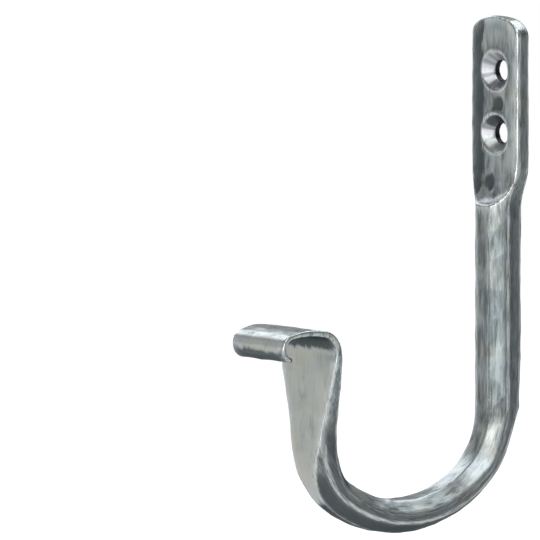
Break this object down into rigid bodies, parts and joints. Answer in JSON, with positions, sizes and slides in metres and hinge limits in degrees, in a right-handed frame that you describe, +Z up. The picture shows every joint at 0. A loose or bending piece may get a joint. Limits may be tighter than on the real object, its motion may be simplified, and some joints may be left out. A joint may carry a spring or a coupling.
{
  "type": "j hook",
  "caption": "Hand-forged steel J hook: a countersunk screw plate, a bevelled bar bent into a J, and a flat leaf with a curled tip.",
  "frame": {"origin": "midway between the two screws, on the wall plane at the back of the plate", "axes": "+Z up along the plate and shank, -Y out from the wall towards the leaf, +X across the hook; the X = 0 plane is its plane of symmetry"},
  "size_m": [0.025, 0.087, 0.1377],
  "materials": {
    "forged_steel": "hammered and wire-brushed grey steel, half matt, brighter along its ridges and edges"
  },
  "bodies": {
    "root": {"j_hook": "forged_steel"}
  },
  "joints": []
}
